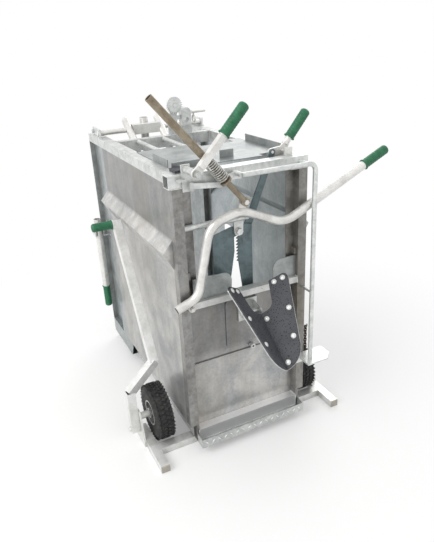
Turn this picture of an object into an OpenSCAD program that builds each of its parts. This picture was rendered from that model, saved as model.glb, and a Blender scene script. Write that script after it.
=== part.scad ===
// Dehorning crate for calves: a steel crate that holds the animal while a neck yoke,
// a bent head bar and a chin cradle hold its head. Millimetres, +Z up, front towards -Y.
// The origin is the middle of the floor pan's top face. Heights below are counted from
// the ground, and from_ground() carries them into the frame of the origin.

/* [Crate body] */
// Width over the side panels
crate_w = 585; // [545:5:680]
// Length from the front posts to the rear posts
crate_l = 1160; // [1100:10:1400]
// Height of the top rails above the ground
crate_h = 1243; // [1200:5:1320]
// Thickness of the side and front panels
sheet_t = 3; // [2:0.5:4]
// Side of the square front posts
post_s = 40; // [36:1:46]
// Wall of every square tube
tube_wall = 3; // [2:0.5:4]
// Depth of the side top rails' section
top_rail_h = 40; // [34:1:46]
// Width of the side top rails' section
top_rail_w = 50; // [44:1:56]
// Height of the side panels' bottom edge above the ground
panel_foot = 133; // [120:1:150]
// How far the pressed rib stands out of the side panel
rib_out = 40; // [25:1:44]
// Height of the rib's upper edge above the ground
rib_top = 989; // [960:1:1020]
// Height of the rib's lower edge above the ground
rib_foot = 870; // [850:1:890]

/* [Floor pan] */
// Height of the pan's underside above the ground
pan_foot = 42; // [42:1:50]
// Thickness of the pan's chequered plate
pan_t = 4; // [3:0.5:6]
// Width over the pan's side flanges
pan_w = 528; // [500:2:534]
// How far the pan's upturned lip stands ahead of the posts
lip_out = 50; // [30:1:60]
// Height of the pan's front lip
lip_h = 43; // [30:1:55]

/* [Front frame] */
// Height of the top rail's section at the front
front_rail_h = 48; // [42:1:54]
// Depth of the top rail's section at the front
front_rail_d = 50; // [46:1:54]
// Height of the middle rail's top face above the ground
mid_rail_top = 725; // [690:1:750]
// Height of the middle rail's section
mid_rail_h = 28; // [24:1:34]
// Height of the bottom rail's section
bottom_rail_h = 57; // [45:1:65]
// Depth of the bottom rail's section
bottom_rail_d = 56; // [45:1:60]
// Distance from the posts' front face back to the lower front panel
panel_inset = 40; // [40:1:44]

/* [Head bar] */
// Outer diameter of the bent head bar
bar_d = 36; // [30:1:38]
// Distance of the bar's axis ahead of the posts' front face
bar_gap = 30; // [28:0.5:32]
// Height of the bar's pivot above the ground
bar_pivot_z = 722; // [715:1:740]
// Diameter of the bar's pivot bolt
bar_bolt_d = 12; // [10:1:12]
// Length of the plastic grips
grip_l = 129; // [100:1:150]
// Outer diameter of the plastic grips
grip_d = 42; // [40:1:46]

/* [Keeper hoop] */
// Diameter of the keeper hoop's round bar
hoop_d = 20; // [14:1:21]
// Distance of the hoop's axis ahead of the posts' front face
hoop_gap = 62; // [61:0.5:66]
// Height of the hoop's top leg above the ground
hoop_top = 1223; // [1200:1:1230]
// Thickness of the foot plate at the hoop's lower end
step_t = 8; // [6:1:12]
// Height of the foot plate's top face above the ground
step_z = 333; // [300:1:360]

/* [Friction rod and lock] */
// Diameter of the rod's lower end, which carries the spring
rod_d = 22; // [18:1:23]
// Diameter of the rod's upper tube
rod_tube_d = 28; // [25:1:29]
// Length of the rod from its pin to the top
rod_l = 527; // [480:1:560]
// Tilt of the rod from level, seen from the front
rod_tilt = 130.4; // [125:0.1:133]
// Distance along the rod from its pin to the spring
spring_start = 124; // [110:1:130]
// Length of the spring
spring_l = 100; // [80:1:110]
// Outer diameter of the spring
spring_od = 46; // [40:1:48]
// Diameter of the spring's wire
spring_wire = 5; // [4:0.5:6]
// Number of turns of the spring
spring_turns = 10; // [8:1:12]
// Side of the lock lever's square tube
lock_tube = 24; // [22:1:26]
// Diameter of the lock lever's pivot bolt
lock_bolt_d = 12; // [10:1:14]

/* [Neck yoke] */
// Distance of the yoke's plane behind the posts' front face
yoke_back = 70; // [66:1:74]
// Height of the yoke's pivot above the ground
yoke_pivot_z = 965; // [940:1:990]
// Diameter of the yoke's pivot bolt
yoke_bolt_d = 16; // [12:1:20]
// Thickness of each yoke leaf
leaf_t = 6; // [4:1:6]
// Diameter of the bar that carries the yoke's pivot
yoke_bar_d = 25; // [20:1:30]
// Length of the yoke lever from its pivot to the grip's end
yoke_lever_l = 188; // [180:1:200]

/* [Chin cradle] */
// Length of the cradle from the throat cut-out to the tip
cradle_l = 254; // [230:1:280]
// Length of the two prongs behind the cut-out
prong_l = 110; // [90:1:120]
// Width of each flap of the cradle
flap_w = 178; // [160:1:190]
// Tilt of each flap from level
flap_tilt = 38; // [35:1:42]
// Downward pitch of the cradle's fold
cradle_pitch = 37; // [34:1:42]
// Thickness of the chequered plate under the cradle
cradle_t = 4; // [3:0.5:6]
// Thickness of the rubber liner
liner_t = 6; // [4:0.5:8]

/* [Wheels] */
// Outer diameter of the tyres
tyre_d = 260; // [240:2:260]
// Width of the tyres
tyre_w = 82; // [70:1:84]
// Diameter of the wheel axles
axle_d = 20; // [16:1:25]
// Distance of each wheel's middle plane from the crate's middle
wheel_x = 376; // [375:0.5:377]
// Width of the skids' tube
skid_w = 40; // [36:1:44]
// Height of the skids' tube
skid_h = 34; // [30:1:34]
// Distance of the skids' middle planes from the crate's middle
skid_x = 442; // [440:1:450]
// Length of the skids
skid_l = 300; // [280:2:320]
// Depth of the cross tube between the skids
cross_d = 44; // [36:1:44]

/* [Wheel lever] */
// Side of the wheel lever's tube
lever_s = 38; // [32:1:38]
// Height of the lever's top above the ground
lever_top = 914; // [880:1:930]
// Length of the wheel lever's short grip
lever_grip_l = 95; // [90:1:110]

/* [Carrying handles] */
// Outer diameter of the folding handles
handle_d = 38; // [34:1:38]
// Height of the handles' pivots above the ground
handle_pivot_z = 730; // [715:1:745]
// Distance of the handles' pivots behind the crate's middle
handle_y = 500; // [460:1:520]
// Length of a handle below its pivot
handle_drop = 467; // [430:1:490]
// Diameter of the handles' pivot bolts
handle_bolt_d = 12; // [10:1:14]

/* [Rump gate] */
// Diameter of the shaft that the gate swings on
gate_shaft_d = 26; // [22:1:28]
// Height of the gate's shaft above the top rails
gate_rise = 21; // [19:1:23]
// Distance of the gate's shaft behind the crate's middle
gate_y = 400; // [395:1:420]
// Diameter of the gate's arms
arm_d = 38; // [34:1:42]
// Height of the rump bar above the ground
rump_bar_z = 640; // [600:1:720]
// Diameter over the winch wheel's teeth
winch_d = 80; // [74:1:84]
// Number of teeth on the winch wheel
winch_teeth = 24; // [18:1:30]

/* [Clearances] */
// Running clearance of a pin in its hole, on the radius
run_gap = 0.05; // [0.02:0.01:0.1]
// Gap between curved pieces that only lie close to each other
near_gap = 0.3; // [0.2:0.05:0.5]
// Gap between flat plates that slide on each other
side_gap = 0.5; // [0.3:0.1:1]

/* [Hidden] */
$fn = 48;

galvanised = "#c3c6c4";
bright_zinc = "#dcdedb";
dull_zinc = "#9aa09e";
green = "#2a7a52";
black = "#2b2c2e";
rusty = "#4a3a2c";

floor_top = pan_foot + pan_t;
half_w = crate_w / 2;
front_y = -crate_l / 2;
rear_y = crate_l / 2;
post_in = half_w - post_s;
post_back = front_y + post_s;
rail_foot = crate_h - top_rail_h;
rail_in = half_w - top_rail_w;
front_rail_foot = crate_h - front_rail_h;
pan_half = pan_w / 2;
mid_rail_foot = mid_rail_top - mid_rail_h;
bottom_rail_top = floor_top + bottom_rail_h;
panel_y = front_y + panel_inset;
patch_t = 4;
rear_post_y = rear_y - 250;
rear_step_y = rear_y - 200;
web_x = pan_half + near_gap;

bar_y = front_y - bar_gap;
bar_pivot = [6.5 - post_in - 13, bar_pivot_z];
hoop_y = front_y - hoop_gap;
hoop_x = half_w - 7.5;
step_foot = step_z - step_t;

rod_foot = [-26, bar_pivot_z + 398];
rod_y = bar_y - 27;
rod_dir = [cos(rod_tilt), sin(rod_tilt)];
spring_end = spring_start + spring_l;
lock_pivot = [-236, crate_h + 20];
gate_z = crate_h + gate_rise;
lock_y = rod_y - spring_od / 2 - lock_tube / 2 - 4;
lock_angle = 47;
lock_dir = [cos(lock_angle), sin(lock_angle)];
lock_tip = 291;

yoke_y = front_y + yoke_back;
yoke_pivot = [3, yoke_pivot_z];
link_arm = 50;
yoke_lever_pivot = [226, crate_h + 13];
yoke_lever_angle = 50;

cradle_fold = [20, front_y - 72, 635];
hinge_y = front_y - 24;
hinge_z = mid_rail_foot - 68;
cradle_pin_d = 12;

axle_y = front_y + 190;
axle_z = tyre_d / 2;
cross_y = front_y + 70;
cross_z = skid_h / 2;
journal_x = 165;
journal_l = 34;
skid_front = front_y - 55;
skid_in = skid_x - skid_w / 2;
skid_out = skid_x + skid_w / 2;
wheel_bracket_t = 8;
stub_in = wheel_x - tyre_w / 2 - 3;

lever_x = half_w + rib_out + lever_s / 2 + 6;
lever_out_x = skid_out + wheel_bracket_t + lever_s / 2 + 0.5;
lever_tip = [-lever_x, front_y + 565, lever_top];
lever_knee = [-lever_x, front_y + 232, 362];
lever_elbow = [-lever_out_x, front_y + 199, 266];
lever_foot = [-lever_out_x, front_y + 190, 60];

handle_x = half_w + 37.5;
arm_left = -121;
arm_right = 53;
winch_at = [58, 1385];
cross_rail_y = 210;
cross_rail_d = 40;
pawl_d = 12;

module from_ground() {
    translate([0, 0, -floor_top]) children();
}

// Both sides of the crate, the second one mirrored
module both_sides() {
    children();
    mirror([1, 0, 0]) children();
}

// Rectangular tube from its lowest corner, open at both ends along one axis
module box_tube(size, axis, wall = tube_wall) {
    grow = [for (i = [0:2]) i == axis ? 1 : -wall];
    difference() {
        cube(size);
        translate(-grow) cube(size + 2 * grow);
    }
}

// Round bar between two points
module rod(p, q, d) {
    v = q - p;
    length = norm(v);
    translate(p) rotate([0, acos(v[2] / length), atan2(v[1], v[0])]) cylinder(d = d, h = length);
}

// Plate or boss that lies in a plane square to Y, from depth y backwards by t
module along_y(y, t) {
    translate([0, y + t, 0]) rotate([90, 0, 0]) linear_extrude(t) children();
}

// Bolt head with its washer, pointing to -Y, on a face at p
module bolt_front(p, d) {
    translate(p) rotate([90, 0, 0]) {
        cylinder(d = 2.2 * d, h = 2);
        cylinder(d = 1.8 * d, h = 2 + 0.7 * d, $fn = 6);
    }
}

// Bolt head with its washer, pointing to -X, on a face at p
module bolt_left(p, d) {
    translate(p) rotate([0, -90, 0]) {
        cylinder(d = 2.2 * d, h = 2);
        cylinder(d = 1.8 * d, h = 2 + 0.7 * d, $fn = 6);
    }
}

function unit(v) = v / norm(v);
function turn_at(points, i) =
    let (a = unit(points[i] - points[i - 1]), b = unit(points[i + 1] - points[i]))
    atan2(a[0] * b[1] - a[1] * b[0], a * b);
function trim_at(points, radii, i) =
    i == 0 || i == len(points) - 1 ? 0 : radii[i - 1] * tan(abs(turn_at(points, i)) / 2);

// Straight runs and true bends of a round bar through points in one plane
module bent_run(points, radii, d) {
    last = len(points) - 1;
    for (i = [0:last - 1]) {
        dir = unit(points[i + 1] - points[i]);
        a = points[i] + dir * trim_at(points, radii, i);
        b = points[i + 1] - dir * trim_at(points, radii, i + 1);
        translate([a[0], a[1], 0]) rotate([0, 90, atan2(dir[1], dir[0])])
            cylinder(d = d, h = norm(b - a));
    }
    for (i = [1:last - 1]) {
        turn = turn_at(points, i);
        dir = unit(points[i] - points[i - 1]);
        side = sign(turn);
        start = points[i] - dir * trim_at(points, radii, i);
        centre = start + radii[i - 1] * side * [-dir[1], dir[0]];
        from = atan2(start[1] - centre[1], start[0] - centre[0]);
        translate([centre[0], centre[1], 0]) rotate([0, 0, turn > 0 ? from : from + turn])
            rotate_extrude(angle = abs(turn)) translate([radii[i - 1], 0]) circle(d = d);
    }
}

// Places and headings along a tube's centre line, with a step every few degrees in its bends
function bend_steps(points, radii, i) =
    let (turn = turn_at(points, i), dir = unit(points[i] - points[i - 1]), heading = atan2(dir[1], dir[0]),
         reach = radii[i - 1] * sign(turn), start = points[i] - dir * trim_at(points, radii, i),
         centre = start + reach * [-dir[1], dir[0]], steps = ceil(abs(turn) / 7))
    [for (k = [0:steps]) let (h = heading + turn * k / steps) [centre + reach * [sin(h), -cos(h)], h]];
function end_step(points, i, j) =
    let (dir = unit(points[j] - points[i])) [points[i], atan2(dir[1], dir[0])];
function centre_line(points, radii) =
    let (last = len(points) - 1, tail = end_step(points, last, last - 1))
    concat([end_step(points, 0, 1)], [for (i = [1:last - 1]) each bend_steps(points, radii, i)],
        [[tail[0], tail[1] + 180]]);
function rings_along(line, d, sides) = [for (step = line) for (j = [0:sides - 1])
    let (a = j * 360 / sides, out = d / 2 * cos(a))
    [step[0][0] - out * sin(step[1]), d / 2 * sin(a), step[0][1] + out * cos(step[1])]];

// Bent tube in the X-Z plane, as one skin with its bore open at both ends
module swept_tube(points, radii, d, wall, sides = 24) {
    line = centre_line(points, radii);
    n = len(line);
    bore = n * sides;
    walls = [for (i = [0:n - 2]) for (j = [0:sides - 1])
        let (a = i * sides + j, b = i * sides + (j + 1) % sides, c = a + sides, e = b + sides)
        each [[a, b, c], [b, e, c], [bore + a, bore + c, bore + b], [bore + b, bore + c, bore + e]]];
    mouths = [for (j = [0:sides - 1])
        let (k = (j + 1) % sides, tail = (n - 1) * sides)
        each [[j, bore + j, k], [k, bore + j, bore + k],
            [tail + j, tail + k, bore + tail + j], [tail + k, bore + tail + k, bore + tail + j]]];
    polyhedron(points = concat(rings_along(line, d, sides), rings_along(line, d - 2 * wall, sides)),
        faces = concat(walls, mouths));
}

// Plastic grip along +Z from its collar, with a rounded closed end and a bore for a tube
module grip(bore, depth, length = grip_l) {
    r = grip_d / 2;
    difference() {
        rotate_extrude() polygon(concat(
            [[0, 0], [r + 2, 0], [r + 2, 4], [r - 1, 7], [r - 1, length - 12]],
            [for (a = [0:15:90]) [r - 1 - 12 + 12 * cos(a), length - 12 + 12 * sin(a)]],
            [[0, length]]));
        translate([0, 0, -1]) cylinder(d = bore + 2 * run_gap, h = depth + 1);
    }
}

// Frame

// Front post with its inner plate, which is inner_w wide and carries a stop block
module front_post(inner_w) {
    plate_t = 5;
    difference() {
        translate([post_in, front_y, floor_top])
            box_tube([post_s, post_s, front_rail_foot - floor_top], 2);
        translate([pan_half, front_y - 1, 0]) cube([half_w, post_s + 2, panel_foot]);
    }
    translate([post_in - inner_w, post_back - plate_t, mid_rail_top])
        cube([inner_w, plate_t, front_rail_foot - mid_rail_top]);
    translate([post_in - 12, post_back - 30, mid_rail_top + 101]) cube([12, 25, 30]);
}

module front_post_left() {
    color(galvanised) from_ground() mirror([1, 0, 0]) front_post(47);
}

module front_post_right() {
    color(galvanised) from_ground() front_post(38);
}

module front_top_rail() {
    color(bright_zinc) from_ground() {
        translate([-half_w - 12, front_y, front_rail_foot])
            box_tube([crate_w + 12, front_rail_d, front_rail_h], 0);
    }
}

module front_mid_rail() {
    color(bright_zinc) from_ground() translate([-post_in, front_y, mid_rail_foot])
        box_tube([2 * post_in, post_s, mid_rail_h], 0);
}

module front_bottom_rail() {
    color(galvanised) from_ground() translate([-post_in, front_y, floor_top])
        box_tube([2 * post_in, bottom_rail_d, bottom_rail_h], 0);
}

// Lower panel with its fold and the rounded plate that stiffens it behind the cradle
module lower_front_panel() {
    fold_z = 415;
    patch_x = [-82, 60];
    patch_r = 25;
    patch_foot = 445;
    color(dull_zinc) from_ground() {
        translate([-post_in, panel_y, bottom_rail_top])
            cube([2 * post_in, sheet_t, mid_rail_foot - bottom_rail_top]);
        translate([-post_in, panel_y, mid_rail_foot])
            cube([2 * post_in, sheet_t, mid_rail_h - 4]);
        translate([-post_in, panel_y - 6, fold_z]) cube([2 * post_in, 6, 5]);
        along_y(panel_y - patch_t, patch_t) hull() for (x = [patch_x[0] + patch_r, patch_x[1] - patch_r])
            for (z = [patch_foot + patch_r, mid_rail_foot - 16 - patch_r])
                translate([x, z]) circle(r = patch_r, $fn = 32);
    }
}

// Side panel with its pressed rib, a return flange at the foot and an end plate in the rib
module side_panel(opening) {
    rib_mid = rib_foot + 0.6 * (rib_top - rib_foot);
    outside = [
        [half_w, panel_foot], [half_w, rib_foot], [half_w + rib_out, rib_mid],
        [half_w, rib_top], [half_w, rail_foot]
    ];
    inside = [for (i = [4:-1:0]) outside[i] - [sheet_t, 0]];
    difference() {
        along_y(post_back, rear_post_y - post_back) polygon(concat(outside, inside));
        translate([half_w - 2 * sheet_t, post_back - 1, front_rail_foot])
            cube([4 * sheet_t, front_y + front_rail_d - post_back + 1, front_rail_h]);
        if (opening)
            translate([half_w - 2 * sheet_t, -80, 350]) cube([4 * sheet_t, 260, 400]);
    }
    translate([pan_half + near_gap, post_back, panel_foot])
        cube([half_w - pan_half - near_gap, rear_post_y - post_back, sheet_t]);
    along_y(rear_post_y - sheet_t, sheet_t) polygon([outside[1], outside[2], outside[3]]);
    along_y(post_back, sheet_t) polygon([outside[1], outside[2], outside[3]]);
    if (opening) {
        for (z = [350 - 22, 750]) translate([half_w - 2 * sheet_t, -102, z]) cube([sheet_t, 304, 22]);
        for (y = [-102, 180]) translate([half_w - 2 * sheet_t, y, 350]) cube([sheet_t, 22, 400]);
    }
}

module side_panel_left() {
    color(galvanised) from_ground() mirror([1, 0, 0]) side_panel(false);
}

module side_panel_right() {
    color(galvanised) from_ground() side_panel(true);
}

module top_rail() {
    rail_y = front_y + front_rail_d;
    translate([rail_in, rail_y, rail_foot]) box_tube([top_rail_w, rear_y - rail_y, top_rail_h], 1);
}

module top_rail_left() {
    color(bright_zinc) from_ground() mirror([1, 0, 0]) top_rail();
}

module top_rail_right() {
    color(bright_zinc) from_ground() {
        top_rail();
        translate([rail_in - 14, 262, crate_h - 26]) difference() {
            cube([14, 36, 26]);
            translate([-1, 18, 13]) rotate([0, 90, 0]) cylinder(d = 12, h = 16);
        }
    }
}

// Channel at the rear corner, with its open side outwards and a boot down to the pan
module rear_post() {
    height = rail_foot - panel_foot;
    translate([half_w - sheet_t, rear_post_y, panel_foot])
        cube([sheet_t, rear_step_y - rear_post_y, height]);
    translate([web_x, rear_step_y - sheet_t, panel_foot]) cube([half_w - web_x, sheet_t, height]);
    translate([web_x, rear_step_y - sheet_t, panel_foot])
        cube([sheet_t, rear_y - rear_step_y + sheet_t, height]);
    translate([web_x, rear_y - sheet_t, panel_foot]) cube([half_w - web_x, sheet_t, height]);
    difference() {
        translate([pan_half + near_gap, cross_rail_y, floor_top])
            box_tube([half_w - pan_half - near_gap, rear_y - cross_rail_y, panel_foot - floor_top], 1, 2);
        translate([0, cross_rail_y, floor_top]) along_x_wedge(panel_foot - floor_top, 40);
    }
    translate([pan_half + near_gap, rear_post_y, panel_foot])
        cube([half_w - pan_half - near_gap, rear_step_y - rear_post_y, sheet_t]);
}

// Slanting cut across the boot's front end
module along_x_wedge(height, run) {
    rotate([90, 0, 90]) linear_extrude(crate_w)
        polygon([[-1, -1], [run, -1], [-1, height + 1]]);
}

module rear_post_left() {
    color(galvanised) from_ground() mirror([1, 0, 0]) rear_post();
}

module rear_post_right() {
    color(galvanised) from_ground() rear_post();
}

module rear_cross_rail() {
    color(bright_zinc) from_ground() translate([-rail_in, cross_rail_y, crate_h - 53])
        box_tube([2 * rail_in, cross_rail_d, 53], 0);
}

module floor_pan() {
    lip_y = front_y - lip_out;
    flange_h = 104;
    color(dull_zinc) from_ground() {
        translate([-pan_half, lip_y, pan_foot]) cube([pan_w, rear_y - lip_y, pan_t]);
        translate([-pan_half, lip_y, pan_foot]) cube([pan_w, pan_t, lip_h]);
        both_sides() {
            translate([pan_half - pan_t, lip_y, pan_foot]) cube([pan_t, lip_out - 1, lip_h]);
            translate([pan_half - pan_t, post_back + 1, pan_foot])
                cube([pan_t, rear_y - post_back - 1, flange_h]);
            difference() {
                translate([journal_x - journal_l / 2 + 2, cross_y - cross_d / 2, 4])
                    cube([journal_l - 4, cross_d, pan_foot - 4]);
                translate([journal_x - journal_l, cross_y, cross_z]) rotate([0, 90, 0])
                    cylinder(d = skid_h - 1 + 2 * run_gap, h = 2 * journal_l);
            }
        }
    }
}

module rear_runners() {
    color(bright_zinc) from_ground() both_sides()
        translate([pan_half - 34, rear_y - 190, 0]) box_tube([skid_w, 205, pan_foot], 1);
}

// Yoke guides: rounded plates on the middle rail that the leaves slide behind
module yoke_guides() {
    guide_y = front_y + 16;
    color(dull_zinc) from_ground() {
        along_y(guide_y, 5) hull() {
            translate([-230, mid_rail_top]) square([170, 20]);
            translate([-230, mid_rail_top]) square([10, 95]);
            translate([-95, mid_rail_top + 55]) circle(r = 38, $fn = 32);
        }
        along_y(guide_y, 5) hull() {
            translate([140, mid_rail_top]) square([post_in - 140, 20]);
            translate([post_in - 10, mid_rail_top]) square([10, 95]);
            translate([178, mid_rail_top + 55]) circle(r = 38, $fn = 32);
        }
    }
}

// Bar from the left post, with a drop plate and the bolt that both leaves turn on
module yoke_support() {
    bar_at_y = front_y + 22;
    bar_at_z = yoke_pivot_z + 68;
    plate_y = yoke_y - leaf_t - side_gap - 6;
    color(bright_zinc) from_ground() {
        rod([-post_in, bar_at_y, bar_at_z], [26, bar_at_y, bar_at_z], yoke_bar_d);
        difference() {
            along_y(plate_y - 2, 8) hull() {
                translate([yoke_pivot[0], yoke_pivot_z]) circle(r = 20, $fn = 32);
                translate([yoke_pivot[0], bar_at_z - 8]) circle(r = 23, $fn = 32);
            }
            translate([yoke_pivot[0], plate_y - 10, yoke_pivot_z]) rotate([-90, 0, 0])
                cylinder(d = yoke_bolt_d, h = 30);
        }
        translate([-20, bar_at_y, bar_at_z - 12]) cube([46, plate_y - bar_at_y - 1, 24]);
        rod([yoke_pivot[0], plate_y - 8, yoke_pivot_z],
            [yoke_pivot[0], yoke_y + leaf_t + side_gap + 14, yoke_pivot_z], yoke_bolt_d);
        bolt_front([yoke_pivot[0], plate_y - 2, yoke_pivot_z], yoke_bolt_d);
        translate([yoke_pivot[0], yoke_y + leaf_t + side_gap + 13, yoke_pivot_z]) rotate([90, 0, 0])
            cylinder(d = 1.8 * yoke_bolt_d, h = 12, $fn = 6);
    }
}

// Sheet cover over the crate's front half, with upturned edges and a middle tab
module top_cover() {
    cover_front = front_y + 90;
    cover_back = front_y + 490;
    half = rail_in + 8;
    color(bright_zinc) from_ground() difference() {
        union() {
            translate([-half, cover_front, crate_h]) cube([2 * half, cover_back - cover_front, sheet_t]);
            translate([-half, cover_front + 41, crate_h]) cube([sheet_t, 158, 31]);
            translate([half - sheet_t, cover_front + 40, crate_h]) cube([sheet_t, 295, 32]);
            translate([-half, cover_front, crate_h]) cube([120, sheet_t, 26]);
            translate([-20, cover_front + 60, crate_h]) cube([60, 5, 34]);
        }
        translate([-145, -277, crate_h - 1]) cylinder(d = 8, h = sheet_t + 2);
        translate([30, cover_back - 60, crate_h - 1]) cube([half - 90, 100, sheet_t + 2]);
        translate([140, cover_front - 1, crate_h - 1]) cube([half, 34, sheet_t + 2]);
    }
}

// Two bars from the rear cross rail forwards under the cover
module cover_rods() {
    color(bright_zinc) from_ground() for (x = [-140, -10])
        translate([x, 0, 0]) {
            rod([0, -150, crate_h - 12], [0, cross_rail_y, crate_h - 12], 24);
        }
}

module rubber_pad() {
    color(black) from_ground() translate([-262, front_y + 30, crate_h]) cube([42, 60, 11]);
}

// Hoop that keeps the head bar close to the right post
module keeper_hoop() {
    hoop_end = -40;
    strap_y = front_y - 24;
    strap_end = lock_pivot[0] + 17;
    color(bright_zinc) from_ground() {
        translate([0, hoop_y, 0]) rotate([90, 0, 0]) bent_run(
            [[hoop_end, hoop_top], [hoop_x, hoop_top], [hoop_x, step_z]], [30], hoop_d);
        rod([hoop_x, hoop_y, 665], [hoop_x, front_y, 665], 12);
        rod([hoop_end, hoop_y, hoop_top], [hoop_end, front_y, hoop_top], hoop_d);
        rod([hoop_x - 30, hoop_y, hoop_top], [hoop_x - 30, front_y, hoop_top], 14);
        along_y(strap_y, 6) polygon([
            [hoop_end, hoop_top + 8], [-72, hoop_top + 2], [-108, hoop_top - 23], [strap_end, hoop_top - 11],
            [strap_end, hoop_top - 31], [-104, hoop_top - 43], [-66, hoop_top - 16], [hoop_end, hoop_top - 10]
        ]);
    }
}

module foot_plate() {
    color(bright_zinc) from_ground() {
        difference() {
            translate([250, front_y - 100, step_foot]) cube([140, 100, step_t]);
            translate([390, front_y - 100, step_foot - 1]) rotate([0, 0, 45])
                cube([50, 50, 3 * step_t], center = true);
        }
        translate([250, front_y - sheet_t * 2, step_foot - 40]) cube([42.5, sheet_t * 2, 40]);
    }
}

// Plate on the top rail with the boss and bolt that the lock lever turns on, and two ears
module lock_bracket() {
    plate_w = 34;
    plate_foot = crate_h - 62;
    plate_x = lock_pivot[0] - plate_w / 2;
    cheek_y = lock_y + lock_tube / 2 + side_gap;
    color(galvanised) from_ground() {
        translate([plate_x, front_y - 8, plate_foot]) cube([plate_w, 8, lock_pivot[1] + 17 - plate_foot]);
        translate([plate_x - 22, front_y - 26, crate_h - 20]) cube([30, 26, 8]);
        translate([plate_x + plate_w - 12, front_y - 30, plate_foot + 5]) cube([12, 22, 30]);
        rod([lock_pivot[0], front_y, lock_pivot[1]], [lock_pivot[0], cheek_y, lock_pivot[1]], 26);
        rod([lock_pivot[0], cheek_y, lock_pivot[1]],
            [lock_pivot[0], lock_y - lock_tube / 2 - 10, lock_pivot[1]], lock_bolt_d);
        bolt_front([lock_pivot[0], lock_y - lock_tube / 2 - side_gap, lock_pivot[1]], lock_bolt_d);
    }
}

// Chain of oval links that hangs by the right post
module restraint_chain() {
    link_l = 24;
    link_w = 17;
    wire = 5;
    pitch = link_l - 2 * wire - 0.6;
    chain_x = half_w + 24;
    chain_y = front_y + 22;
    hook_z = 448;
    color(rusty) from_ground() {
        rod([half_w, chain_y, hook_z], [chain_x + 8, chain_y, hook_z], wire);
        rod([chain_x + 8, chain_y, hook_z - wire / 2], [chain_x + 8, chain_y, hook_z + 10], wire);
        for (i = [0:8]) translate([chain_x, chain_y, hook_z - pitch * i - link_l / 2 + wire * 1.5 + 0.3])
            rotate([0, 0, i % 2 == 0 ? 90 : 0]) chain_link(link_l, link_w, wire);
    }
}

module chain_link(length, width, wire) {
    r = (width - wire) / 2;
    half = length / 2 - width / 2;
    rotate([90, 0, 0]) {
        for (side = [-1, 1]) {
            translate([side * r, -half, 0]) rotate([-90, 0, 0]) cylinder(d = wire, h = 2 * half, $fn = 16);
            translate([0, side * half, 0]) rotate([0, 0, side > 0 ? 0 : 180])
                rotate_extrude(angle = 180, $fn = 24) translate([r, 0]) circle(d = wire, $fn = 16);
        }
    }
}

// Bracket on the lower front panel with the pin that the cradle folds on
module cradle_bracket() {
    cheek = 7;
    x0 = cradle_fold[0];
    color(bright_zinc) from_ground() {
        translate([x0 - 45, panel_y - patch_t - 8, hinge_z - 60]) cube([90, 8, 100]);
        for (side = [-1, 1]) difference() {
            translate([x0 + side * 28 - cheek / 2, 0, 0]) rotate([90, 0, 90]) linear_extrude(cheek)
                hull() {
                    translate([hinge_y, hinge_z]) circle(r = 16, $fn = 32);
                    translate([panel_y - patch_t - 8, hinge_z - 45]) square([4, 70]);
                }
            translate([x0 - 60, hinge_y, hinge_z]) rotate([0, 90, 0])
                cylinder(d = cradle_pin_d - 1, h = 120);
        }
        rod([x0 - 38, hinge_y, hinge_z], [x0 + 38, hinge_y, hinge_z], cradle_pin_d);
        translate([38, panel_y, 433]) rotate([90, 0, 0]) difference() {
            cylinder(d = 22, h = 22);
            translate([0, 0, 14]) cylinder(d = 10, h = 10);
        }
    }
}

// Cheeks and bolts at the crate's rear corners that the carrying handles hang from
module handle_brackets() {
    cheek = 6;
    gap = handle_d / 2 + side_gap;
    color(bright_zinc) from_ground() both_sides() {
        difference() {
            union() {
                for (x = [handle_x - gap - cheek, handle_x + gap])
                    translate([x, handle_y - 26, handle_pivot_z - 30]) cube([cheek, 52, 60]);
                translate([web_x + sheet_t, handle_y - 26, handle_pivot_z + 22])
                    cube([handle_x - web_x - sheet_t - gap, 52, 8]);
                translate([web_x + sheet_t, handle_y - 26, handle_pivot_z - 30])
                    cube([handle_x - web_x - sheet_t - gap, 52, 8]);
                translate([web_x + sheet_t, handle_y - 32, handle_pivot_z - 36]) cube([6, 64, 72]);
            }
            translate([web_x, handle_y, handle_pivot_z]) rotate([0, 90, 0])
                cylinder(d = handle_bolt_d - 1, h = 200);
        }
        translate([handle_x - gap - 1, handle_y + handle_d / 2 + 1, handle_pivot_z + handle_d / 2 + 2])
            cube([2 * gap + 2, 6, 28 - handle_d / 2]);
        rod([handle_x - gap - cheek - 8, handle_y, handle_pivot_z],
            [handle_x + gap + cheek + 12, handle_y, handle_pivot_z], handle_bolt_d);
        translate([handle_x + gap + cheek, handle_y, handle_pivot_z]) rotate([0, 90, 0])
            cylinder(d = 1.8 * handle_bolt_d, h = 8, $fn = 6);
    }
}

// Upright plates on the top rails that hold the gate's shaft
module gate_brackets() {
    color(bright_zinc) from_ground() both_sides() {
        difference() {
            translate([half_w - 16, gate_y - 25, crate_h]) cube([8, 130, gate_z + 21 - crate_h]);
            translate([half_w - 30, gate_y, gate_z]) rotate([0, 90, 0]) cylinder(d = gate_shaft_d, h = 40);
        }
        translate([half_w - 16, gate_y - 25, crate_h]) cube([14, 130, 5]);
        translate([half_w - 8, gate_y + 88, gate_z + 2]) rotate([0, 90, 0]) cylinder(d = 20, h = 9, $fn = 6);
    }
}

module gate_shaft() {
    color(bright_zinc) from_ground()
        rod([4 - half_w, gate_y, gate_z], [half_w - 4, gate_y, gate_z], gate_shaft_d);
}

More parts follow.
